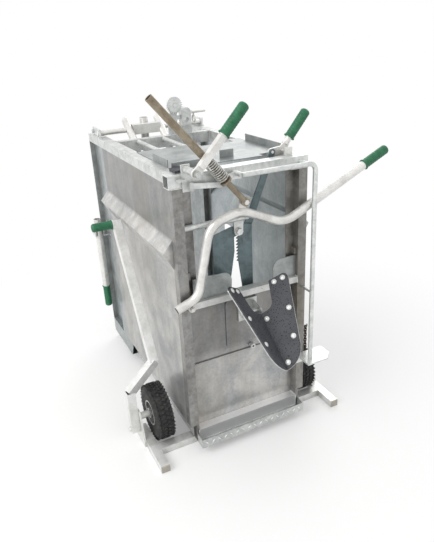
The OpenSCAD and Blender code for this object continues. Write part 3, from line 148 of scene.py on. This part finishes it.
world = bpy.data.worlds.new("studio")
bpy.context.scene.world = world
world.use_nodes = True
world.node_tree.nodes.clear()
sky = world.node_tree
where = add(sky, "ShaderNodeTexCoord")
height = add(sky, "ShaderNodeSeparateXYZ", {}, {0: where.outputs["Generated"]})
room = add(sky, "ShaderNodeValToRGB", {}, {0: height.outputs["Z"]})
room.color_ramp.elements[0].position = 0.0
room.color_ramp.elements[0].color = linear("#8d9193")
room.color_ramp.elements[1].position = 0.7
room.color_ramp.elements[1].color = linear("#ffffff")
soft = add(sky, "ShaderNodeBackground", {"Strength": 0.95}, {"Color": room.outputs["Color"]})
plain = add(sky, "ShaderNodeBackground", {"Color": (1, 1, 1, 1), "Strength": 1.0})
wall = add(sky, "ShaderNodeMixShader", {},
           {0: seen_directly(sky), 1: soft.outputs[0], 2: plain.outputs[0]})
add(sky, "ShaderNodeOutputWorld", {}, {"Surface": wall.outputs[0]})


def lamp(name, place, aim, size, power):
    """A square soft lamp at a place, turned to the point it lights."""
    light = bpy.data.lights.new(name, "AREA")
    light.size = size
    light.energy = power
    holder = bpy.data.objects.new(name, light)
    holder.location = place
    holder.rotation_euler = (Vector(aim) - Vector(place)).to_track_quat("-Z", "Y").to_euler()
    bpy.context.scene.collection.objects.link(holder)


lamp("key_lamp", (-3.6, -1.2, 3.2), (0, 0, 0.5), 2.8, 90)
lamp("rear_lamp", (2.6, 2.8, 3.4), (0, 0, 0.6), 2.4, 30)
bpy.context.scene.view_settings.view_transform = "Standard"


# Galvanised steel. The tubes and sheets are dipped in molten zinc after welding, which leaves
# a frost of crystals, cloudy patches and runs. Bright zinc is the same bath on the thin bars.
crate_top = 1.2
palest = 0.95


def zinc(name, pale, dull, cloud_mm=90, flower_mm=9, rough=0.36, metal=0.55, run=0.3, painted_light_levels=(),
         soil=None):
    """Hot-dip zinc: clouds, slanting runs, faint crystals and painted shade in the corners.

    Painted light levels are (height in metres, shade) pairs: bands of painted shade and painted highlight
    make the colour darker or paler up the crate.
    Soil is the colour of the patches where dirt has dried on.
    """
    made = bpy.data.materials.new(name)
    made.use_nodes = True
    tree = made.node_tree
    shader = tree.nodes["Principled BSDF"]
    shader.inputs["Metallic"].default_value = metal
    place = add(tree, "ShaderNodeTexCoord").outputs["Object"]
    cloud = add(tree, "ShaderNodeTexNoise", {"Scale": 1000 / cloud_mm, "Detail": 4, "Roughness": 0.55,
                                             "Distortion": 1.2}, {"Vector": place})
    slant = add(tree, "ShaderNodeMapping", {"Rotation": (0.35, 0.3, 0), "Scale": (1, 1, 0.14)},
                {"Vector": place})
    runs = add(tree, "ShaderNodeTexNoise", {"Scale": 2600 / cloud_mm, "Detail": 4, "Roughness": 0.6},
               {"Vector": slant.outputs[0]})
    flower = add(tree, "ShaderNodeTexVoronoi", {"Scale": 1000 / flower_mm}, {"Vector": place})
    crystal = add(tree, "ShaderNodeSeparateColor", {}, {0: flower.outputs["Color"]})
    both = add(tree, "ShaderNodeMix", {"Factor": run}, {2: cloud.outputs[0], 3: runs.outputs[0]})
    frost = add(tree, "ShaderNodeMix", {"Factor": 0.08}, {2: both.outputs[0], 3: crystal.outputs[0]})
    tone = add(tree, "ShaderNodeValToRGB", {}, {0: frost.outputs[0]})
    tone.color_ramp.elements[0].position = 0.36
    tone.color_ramp.elements[0].color = linear(dull)
    tone.color_ramp.elements[1].position = 0.62
    tone.color_ramp.elements[1].color = linear(pale)
    colour = tone.outputs[0]
    if soil:
        patch = add(tree, "ShaderNodeTexNoise", {"Scale": 6, "Detail": 5, "Roughness": 0.65},
                    {"Vector": slant.outputs[0]})
        edge = add(tree, "ShaderNodeMapRange", {"From Min": 0.47, "From Max": 0.72, "To Max": 0.6},
                   {"Value": patch.outputs[0]})
        stained = add(tree, "ShaderNodeMix", {"data_type": "RGBA", 7: linear(soil)},
                      {0: edge.outputs[0], 6: colour})
        colour = stained.outputs[2]
    # Painted shade: ambient occlusion darkens the colour in corners and between parts.
    corner = add(tree, "ShaderNodeAmbientOcclusion", {"samples": 6, "Distance": 0.05})
    shade = add(tree, "ShaderNodeMapRange", {"From Min": 0.25, "From Max": 0.85, "To Min": 0.68, "To Max": 1},
                {"Value": corner.outputs["AO"]}).outputs[0]
    # Painted light and shade: the colour is scaled by height in bands.
    if painted_light_levels:
        axes = add(tree, "ShaderNodeSeparateXYZ", {}, {0: place})
        climb = add(tree, "ShaderNodeMapRange", {"From Max": crate_top}, {"Value": axes.outputs["Z"]})
        band = add(tree, "ShaderNodeValToRGB", {}, {0: climb.outputs[0]})
        while len(band.color_ramp.elements) < len(painted_light_levels):
            band.color_ramp.elements.new(0.5)
        for stop, (height, grey) in zip(band.color_ramp.elements, painted_light_levels):
            stop.position = height / crate_top
            stop.color = (grey, grey, grey, 1)
        shade = add(tree, "ShaderNodeMath", {"operation": "MULTIPLY"},
                    {0: shade, 1: band.outputs[0]}).outputs[0]
    shaded = add(tree, "ShaderNodeVectorMath", {"operation": "SCALE"}, {0: colour, "Scale": shade})
    capped = add(tree, "ShaderNodeVectorMath", {"operation": "MINIMUM", 1: (palest, palest, palest)},
                 {0: shaded.outputs[0]})
    tree.links.new(capped.outputs[0], shader.inputs["Base Color"])
    gloss = add(tree, "ShaderNodeMapRange", {"To Min": rough - 0.1, "To Max": rough + 0.14},
                {"Value": frost.outputs[0]})
    tree.links.new(gloss.outputs[0], shader.inputs["Roughness"])
    bump(tree, shader, frost.outputs[0], 0.35, 0.0012)
    return made


def plastic(name, rough, noise, dark, pale, span=(0, 1), relief=None):
    """Plastic or rubber that wavers between two tones, with the same noise as relief if asked."""
    made = bpy.data.materials.new(name)
    made.use_nodes = True
    tree = made.node_tree
    shader = tree.nodes["Principled BSDF"]
    shader.inputs["Roughness"].default_value = rough
    place = add(tree, "ShaderNodeTexCoord").outputs["Object"]
    haze = add(tree, "ShaderNodeTexNoise", noise, {"Vector": place}).outputs[0]
    tone = add(tree, "ShaderNodeValToRGB", {}, {0: haze})
    for stop, at, colour in zip(tone.color_ramp.elements, span, (dark, pale)):
        stop.position = at
        stop.color = linear(colour)
    tree.links.new(tone.outputs[0], shader.inputs["Base Color"])
    if relief:
        bump(tree, shader, haze, *relief)
    return made


def dress(material, *names):
    """Gives CAD nodes their finish."""
    for name in names:
        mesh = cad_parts[name].data
        mesh.materials.clear()
        mesh.materials.append(material)


def piece(name, bm, material, body, smooth=True):
    """Turns a bmesh into a finished piece of the object that rides on a body."""
    mesh = bpy.data.meshes.new(name)
    bm.to_mesh(mesh)
    bm.free()
    for polygon in mesh.polygons:
        polygon.use_smooth = smooth
    mesh.materials.append(material)
    made = bpy.data.objects.new(name, mesh)
    bpy.context.scene.collection.objects.link(made)
    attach(made, body)
    return made


# Frame and sheets. The posts are dull, the rails and skids pale. The left side panel is darker above its rib,
# and the lower front panel above its fold, where the two sheets catch less light: this is painted shade. The
# rib carries a painted highlight, and the front panel and bottom rail are painted paler low down, as light
# from the floor.
# Painted shade: the posts are made a little darker around 0.9 m.
post_zinc = zinc("post_tube", "#aaa9a7", "#817f7c", 60, 8, painted_light_levels=((0.0, 1.0), (0.9, 0.92), (1.1, 1.0)),
                 soil="#867b6c")
# Painted light: the rails are made much paler low down, for the light the floor throws on the bottom rail.
sill_zinc = zinc("sill_tube", "#f4f5f3", "#d8d8d5", 90, 8, 0.3, 0.6, painted_light_levels=((0.1, 1.9), (0.6, 0.9)))
rail_zinc = zinc("rail_angle", "#e6e8e6", "#c0c2bf", 60, 8, 0.34)
rear_zinc = zinc("rear_channel", "#b9bfbf", "#8e9597", 80, 8, soil="#9a9084")
bright = zinc("bright_zinc", "#f2f4f2", "#cdd0ce", 60, 7, 0.32, 0.6)
skid_zinc = zinc("skid_tube", "#fbfbf9", "#e0e0dc", 90, 8, 0.32, 0.5)
# Painted highlight on the rib's upper face from 0.83 to 0.935 m, and painted shade above the rib.
side_sheet = zinc("side_sheet", "#cbc9c6", "#999c9d", 170, 10, 0.34, 0.6, 0.35,
                  ((0.0, 1.0), (0.81, 1.0), (0.83, 1.25), (0.935, 1.25), (0.95, 0.6), (1.15, 0.66)),
                  "#a89f93")
inner_sheet = zinc("far_side_sheet", "#d2d8d9", "#aab3b6", 170, 10, 0.32, 0.6, 0.35)
top_sheet = zinc("top_sheet", "#b3b7b6", "#8f9494", 120, 10, 0.34, 0.6)
# Painted light makes the panel paler towards its foot, as lit from the floor; painted shade darkens it above
# the fold at 0.42 m.
front_sheet = zinc("front_sheet", "#c2c0bd", "#94979a", 190, 9, 0.32, 0.75, 0.35,
                   ((0.02, 1.7), (0.13, 1.24), (0.36, 1.1), (0.42, 0.62), (0.7, 0.6)), "#8f8577")

dress(post_zinc, "front_post_left", "front_post_right")
dress(sill_zinc, "front_bottom_rail", "front_mid_rail")
dress(rear_zinc, "rear_post_left", "rear_post_right")
dress(rail_zinc, "top_rail_left", "top_rail_right", "rear_cross_rail", "rear_runners", "cover_rods",
      "cradle_bracket", "lock_bracket")
dress(bright, "front_top_rail", "yoke_support", "keeper_hoop", "foot_plate", "handle_brackets",
      "gate_brackets", "winch_bracket")
dress(side_sheet, "side_panel_left")
dress(inner_sheet, "side_panel_right")
dress(top_sheet, "top_cover", "yoke_guides")
dress(front_sheet, "lower_front_panel")


# Welds. Each tube is joined to the next with a short run of weld beads, about 6 mm wide, which
# the zinc then covers, so they show as small ripples in the corners.
bead_d = 0.006
bead_step = 0.0035


def weld(bm, start, end):
    """A row of overlapping beads between two points."""
    start, end = Vector(start), Vector(end)
    count = max(2, round((end - start).length / bead_step))
    for i in range(count + 1):
        here = start.lerp(end, i / count)
        bmesh.ops.create_icosphere(bm, subdivisions=1, radius=bead_d / 2, matrix=Matrix.Translation(here))


bm = bmesh.new()
for rail in ("front_mid_rail", "rear_cross_rail", "front_bottom_rail"):
    low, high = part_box(rail)
    for x in (low.x, high.x):
        weld(bm, (x, low.y, low.z), (x, low.y, high.z))
        weld(bm, (x, low.y, high.z), (x, high.y, high.z))
weld(bm, (low.x, low.y, low.z), (high.x, low.y, low.z))
for side in ("left", "right"):
    low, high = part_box(f"front_post_{side}")
    weld(bm, (low.x, low.y, high.z), (high.x, low.y, high.z))
piece("frame_welds", bm, bright, "crate")


# Floor pan. Rolled chequered plate, 4 mm thick and turned up at the front, with raised bars in
# pairs that lie across each other so that hooves don't slip.
bar_length = 0.026
bar_width = 0.0074
bar_height = 0.0030
bar_pitch = 0.030
plate_zinc = zinc("chequered_plate", "#d9dbd9", "#b0b3b2", 60, 8, 0.3, 0.7)
# Painted highlight: the bars are tinted whiter than the plate they are pressed from, for the light their
# raised tops catch.
bar_zinc = zinc("chequer_bar", "#fbfbfa", "#eceeec", 40, 7, 0.35, 0.5)
dress(plate_zinc, "floor_pan")


def chequer(bm, corner, along, across, face, columns, rows):
    """Raised bars in a grid on a plane, turned 45 degrees one way and then the other."""
    along, across, face = Vector(along), Vector(across), Vector(face)
    for i in range(columns):
        for j in range(rows):
            turn = math.radians(45 if (i + j) % 2 else -45)
            long_way = along * math.cos(turn) + across * math.sin(turn)
            wide_way = face.cross(long_way)
            here = Vector(corner) + along * bar_pitch * (i + 0.5) + across * bar_pitch * (j + 0.5)
            turned = Matrix((long_way, wide_way, face)).transposed().to_4x4()
            shape = Matrix.Diagonal((bar_length / 2, bar_width / 2, bar_height, 1))
            bmesh.ops.create_icosphere(bm, subdivisions=1, radius=1,
                                       matrix=Matrix.Translation(here) @ turned @ shape)


bm = bmesh.new()
low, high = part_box("floor_pan")
lip_foot = 0.0025
front_room = 0.12
rear_room = 0.02
columns = int((high.x - low.x) / bar_pitch)
margin = ((high.x - low.x) - columns * bar_pitch) / 2
chequer(bm, (low.x + margin, low.y, lip_foot), (1, 0, 0), (0, 0, 1), (0, -1, 0), columns, 1)
chequer(bm, (low.x + margin, low.y + front_room, 0), (1, 0, 0), (0, 1, 0), (0, 0, 1), columns,
        int((high.y - low.y - front_room - rear_room) / bar_pitch))
piece("chequer_bars", bm, bar_zinc, "crate")


# Neck yoke. Two plates cut from 6 mm steel hang from one bolt and close on the neck like
# shears; the right one has a rack of saw teeth on its edge.
# Painted shade: the plates' dark grey-green stands for the shade they hang in inside the crate.
leaf_zinc = zinc("yoke_plate", "#76868a", "#5a676b", 60, 8, 0.36, 0.5)
dress(leaf_zinc, "yoke_leaf_left", "yoke_leaf_right", "yoke_link")


# Head bar and levers. Round and square steel tube, bent cold and galvanised, so the surface is
# bright and only a little cloudy.
tube_zinc = zinc("bent_tube", "#fbfaf7", "#dbd9d5", 130, 7, 0.3, 0.5)
dress(tube_zinc, "head_bar", "lock_lever", "yoke_lever", "carry_handle_left",
      "carry_handle_right", "gate_shaft", "rump_gate", "winch_pawl", "frame_bolts")
dress(skid_zinc, "wheel_lever", "skids", "cross_tube", "wheel_brackets")


# Grips. Soft moulded plastic sleeves pushed on the tube ends: a collar at the mouth, shallow
# finger ridges along the barrel and a rounded end. The green is dull and a little chalky.
grip_length = 0.129
grip_radius = 0.020
collar_radius = 0.0228
ridge = 0.0004

bore_radius = 0.0145
end_radius = 0.013
ridges = 9
points_a_ridge = 4

grip_green = plastic("moulded_green_plastic", 0.46, {"Scale": 55, "Detail": 5, "Roughness": 0.65},
                     "#0e5a38", "#2a7d55", (0.3, 0.72))
tree = grip_green.node_tree
shader = tree.nodes["Principled BSDF"]
shader.inputs["Specular IOR Level"].default_value = 0.6
place = add(tree, "ShaderNodeTexCoord").outputs["Object"]
grain = add(tree, "ShaderNodeTexNoise", {"Scale": 900, "Detail": 2}, {"Vector": place})
bump(tree, shader, grain.outputs[0], 0.25, 0.0004)


def grip(name, node, mouth, heading_vector, body, length=grip_length):
    """A grip spun from its outline, with its mouth at a point and its end along a heading."""
    bm = bmesh.new()
    outline = [(bore_radius, 0.0), (collar_radius - 0.001, 0.0), (collar_radius, 0.001),
               (collar_radius, 0.0035), (grip_radius, 0.006)]
    barrel = length - 0.024
    rows = ridges * points_a_ridge
    for i in range(rows):
        along = 0.009 + (barrel - 0.009) * i / (rows - 1)
        outline.append((grip_radius - ridge + ridge * math.cos(i * math.pi / 2), along))
    for i in range(1, 7):
        turn = math.radians(15 * i)
        outline.append((grip_radius - end_radius + end_radius * math.cos(turn),
                        length - end_radius + end_radius * math.sin(turn)))
    points = [bm.verts.new((r, 0, z)) for r, z in outline]
    points.append(bm.verts.new((0, 0, length)))
    lines = [bm.edges.new(pair) for pair in zip(points, points[1:])]
    bmesh.ops.spin(bm, geom=points + lines, cent=(0, 0, 0), axis=(0, 0, 1), dvec=(0, 0, 0),
                   angle=math.tau, steps=40, use_merge=True)
    bmesh.ops.remove_doubles(bm, verts=bm.verts, dist=0.00005)
    bmesh.ops.recalc_face_normals(bm, faces=bm.faces)
    turn = Vector(heading_vector).to_track_quat("Z", "Y").to_matrix().to_4x4()
    bmesh.ops.transform(bm, matrix=Matrix.Translation(mouth) @ turn, verts=bm.verts)
    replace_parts(piece(name, bm, grip_green, body), node)


def slope(degrees):
    """Unit direction in the plane of the front, raised from level."""
    return Vector((math.cos(math.radians(degrees)), 0, math.sin(math.radians(degrees))))


bar_tip = Vector((0.668, -0.61, 1.179))
bar_slope = slope(math.degrees(math.atan2(231, 504)))
grip("head_bar_sleeve", "head_bar_grip", bar_tip - grip_length * bar_slope, bar_slope, "head_bar")
lock_pin = Vector((-0.236, -0.676, 1.217))
lock_slope = slope(47)
grip("lock_lever_sleeve", "lock_lever_grip", lock_pin + 0.162 * lock_slope, lock_slope, "lock_lever")
yoke_pin = Vector((0.226, -0.48675, 1.21))
yoke_slope = slope(50)
grip("yoke_lever_sleeve", "yoke_lever_grip", yoke_pin + 0.059 * yoke_slope, yoke_slope, "yoke_lever")
low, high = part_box("wheel_lever_grip")
grip("wheel_lever_sleeve", "wheel_lever_grip", (high.x, (low.y + high.y) / 2, (low.z + high.z) / 2),
     (-1, 0, 0), "wheel_frame", high.x - low.x)
for side in ("left", "right"):
    low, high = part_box(f"carry_grip_{side}")
    grip(f"carry_sleeve_{side}", f"carry_grip_{side}",
         ((low.x + high.x) / 2, (low.y + high.y) / 2, high.z), (0, 0, -1), f"carry_handle_{side}")


# Head bar's lower mouth. The tube is open and its inside is in shade, so a disc of painted shadow fills it.
mouth = Vector((-0.3211, -0.61, 0.6853))
mouth_way = Vector((-93, 0, -33))
inside_radius = 0.0145
tube_shadow = zinc("tube_inside_shadow", "#3a3632", "#26221f", 20, 5, 0.6, 0.2)
bm = bmesh.new()
turned = mouth_way.to_track_quat("Z", "Y").to_matrix().to_4x4()
bmesh.ops.create_cone(bm, cap_ends=True, segments=40, radius1=inside_radius, radius2=inside_radius,
                      depth=0.003, matrix=Matrix.Translation(mouth) @ turned)
piece("head_bar_shadow_disc", bm, tube_shadow, "head_bar", smooth=False)


# Friction rod. Bare drawn steel that has tanned with handling, under a coil spring of 5 mm wire
# that sits between two collars.
tan_steel = zinc("tanned_bare_steel", "#ada18d", "#857866", 40, 5, 0.38, 0.4, soil="#7c6c56")
dress(tan_steel, "friction_rod")
wire_zinc = zinc("spring_wire", "#e4e5e2", "#a39f96", 20, 4, 0.3, 0.7)
rod_pin = Vector((-0.026, -0.637, 1.074))
rod_way = slope(130.4)
spring_start = 0.124
spring_length = 0.100
coil_radius = 0.0205
wire_radius = 0.0025
turns = 10
steps_a_turn = 24
rod_side = rod_way.cross(Vector((0, 1, 0)))
route = bpy.data.curves.new("coil_spring", "CURVE")
route.dimensions = "3D"
route.bevel_depth = wire_radius
route.bevel_resolution = 3
route.use_fill_caps = True
spline = route.splines.new("POLY")
total = turns * steps_a_turn
spline.points.add(total)
for i in range(total + 1):
    turn = math.tau * i / steps_a_turn
    climb = spring_start + 2 * wire_radius + (spring_length - 4 * wire_radius) * i / total
    round_rod = math.cos(turn) * rod_side + math.sin(turn) * Vector((0, 1, 0))
    spline.points[i].co = (*(rod_pin + rod_way * climb + coil_radius * round_rod), 1)
coil = bpy.data.objects.new("coil_spring", route)
bpy.context.scene.collection.objects.link(coil)
route.materials.append(wire_zinc)
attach(coil, "friction_rod")
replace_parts(coil, "rod_spring")


# Chin cradle. A V of chequered plate lined with rubber mat, black with grey flecks, held down
# by bright round-headed bolts.
rubber = bpy.data.materials.new("flecked_rubber_mat")
rubber.use_nodes = True
tree = rubber.node_tree
shader = tree.nodes["Principled BSDF"]
shader.inputs["Roughness"].default_value = 0.62
place = add(tree, "ShaderNodeTexCoord").outputs["Object"]
flecks = add(tree, "ShaderNodeTexVoronoi", {"Scale": 120}, {"Vector": place})
spots = add(tree, "ShaderNodeMapRange", {"From Min": 0.2, "From Max": 0.34, "To Min": 1, "To Max": 0},
            {"Value": flecks.outputs["Distance"]})
haze = add(tree, "ShaderNodeTexNoise", {"Scale": 14, "Detail": 4}, {"Vector": place})
base = add(tree, "ShaderNodeValToRGB", {}, {0: haze.outputs[0]})
base.color_ramp.elements[0].color = linear("#3c3d42")
base.color_ramp.elements[1].color = linear("#56575d")
mixed = add(tree, "ShaderNodeMix", {"data_type": "RGBA", 7: linear("#17181b")},
            {0: spots.outputs[0], 6: base.outputs[0]})
tree.links.new(mixed.outputs[2], shader.inputs["Base Color"])
bump(tree, shader, flecks.outputs["Distance"], 0.4, 0.001)


def rounded_copy(name, node, material, body, edge):
    """A moulded piece in the place of a plain solid, with its sharp edges rounded."""
    bm = bmesh.new()
    bm.from_mesh(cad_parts[node].data)
    bmesh.ops.remove_doubles(bm, verts=bm.verts, dist=0.00002)
    bmesh.ops.dissolve_limit(bm, angle_limit=math.radians(4), verts=bm.verts, edges=bm.edges)
    sharp = [e for e in bm.edges if len(e.link_faces) == 2 and e.calc_face_angle(0) > math.radians(50)]
    bmesh.ops.bevel(bm, geom=sharp, offset=edge, offset_type="OFFSET", segments=2, profile=0.5,
                    affect="EDGES", clamp_overlap=True, material=-1)
    bmesh.ops.triangulate(bm, faces=[f for f in bm.faces if len(f.verts) > 4])
    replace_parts(piece(name, bm, material, body, smooth=False), node)


rounded_copy("cradle_mat", "cradle_liner", rubber, "chin_cradle", 0.0012)
rounded_copy("rubber_block", "rubber_pad", rubber, "crate", 0.002)
dress(plate_zinc, "cradle_plate")
dress(zinc("bolt_zinc", "#f6f7f5", "#dfe1de", 20, 5, 0.3, 0.3), "cradle_bolts")


# Chain. Short-link steel chain that has lost its zinc, brown and oily.
dress(zinc("rusty_chain", "#5a4634", "#2c221a", 14, 4, 0.5, 0.3), "restraint_chain")


# Wheels. Pressed zinc rims with pneumatic tyres, whose tread is cut in slanting blocks.
tyre_radius = 0.130
block_depth = 0.004
blocks_round = 40
block_rows = ((-0.0285, 0.45, 0.0035), (-0.0095, 0, 0), (0.0095, 0, 0), (0.0285, -0.45, 0.0035))
half_width_mm = 41
wall_mm = ((4, 58), (3, 80), (0, 92), (0.5, 104), (4, 114), (10, 121), (19, 124.5), (half_width_mm, 126))
tyre_rubber = plastic("tyre_rubber", 0.7, {"Scale": 45, "Detail": 6, "Roughness": 0.7},
                      "#232325", "#4a4843", (0.42, 0.8), (0.3, 0.0008))
dress(zinc("wheel_rim", "#dcdedb", "#a9acaa", 40, 7, 0.3, 0.7), "rim_left", "rim_right")

for side in ("left", "right"):
    low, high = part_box(f"tyre_{side}")
    hub = (low + high) / 2
    carcass = tyre_radius - block_depth
    bm = bmesh.new()
    outline = [(x - half_width_mm, r) for x, r in wall_mm]
    outline += [(-x, r) for x, r in reversed(outline[:-1])]
    points = [bm.verts.new((x / 1000, 0, r / 1000)) for x, r in outline]
    lines = [bm.edges.new(pair) for pair in zip(points, points[1:] + points[:1])]
    bmesh.ops.spin(bm, geom=points + lines, cent=(0, 0, 0), axis=(1, 0, 0), dvec=(0, 0, 0),
                   angle=math.tau, steps=80, use_merge=True)
    bmesh.ops.remove_doubles(bm, verts=bm.verts, dist=0.00005)
    for i in range(blocks_round):
        for row, (x, lean, drop) in enumerate(block_rows):
            spot = math.tau * (i + 0.5 * (row % 2)) / blocks_round
            shape = bmesh.ops.create_cube(bm, size=1)["verts"]
            place_block = (Matrix.Rotation(spot, 4, "X") @ Matrix.Translation((x, 0, carcass - drop + 0.001))
                           @ Matrix.Rotation(lean, 4, "Y")
                           @ Matrix.Rotation(math.radians(38 if row % 2 else -38), 4, "Z")
                           @ Matrix.Diagonal((0.0145, 0.0125, block_depth * 1.5, 1)))
            bmesh.ops.transform(bm, matrix=place_block, verts=shape)
    bmesh.ops.recalc_face_normals(bm, faces=bm.faces)
    bmesh.ops.translate(bm, vec=hub, verts=bm.verts)
    tyre = piece(f"block_tread_tyre_{side}", bm, tyre_rubber, f"wheel_{side}", smooth=False)
    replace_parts(tyre, f"tyre_{side}")


# Skid caps. Pale plastic plugs close the front ends of the skids' square tube.
cap_cream = plastic("cream_plastic_cap", 0.5, {"Scale": 60, "Detail": 4}, "#b3aca0", "#d6d1c6")
low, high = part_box("skids")
bm = bmesh.new()
cap_width = 0.040
cap_height = 0.034
for x in (low.x + cap_width / 2, high.x - cap_width / 2):
    for y in (low.y - 0.001, high.y + 0.001):
        shape = bmesh.ops.create_cube(bm, size=1)["verts"]
        bmesh.ops.transform(bm, verts=shape, matrix=Matrix.Translation((x, y, low.z + cap_height / 2))
                            @ Matrix.Diagonal((cap_width - 0.001, 0.006, cap_height - 0.001, 1)))
bmesh.ops.bevel(bm, geom=list(bm.edges), offset=0.0016, offset_type="OFFSET", segments=2, profile=0.5,
                affect="EDGES", clamp_overlap=True, material=-1)
piece("skid_caps", bm, cap_cream, "wheel_frame", smooth=False)

dress(bright, "winch_wheel")
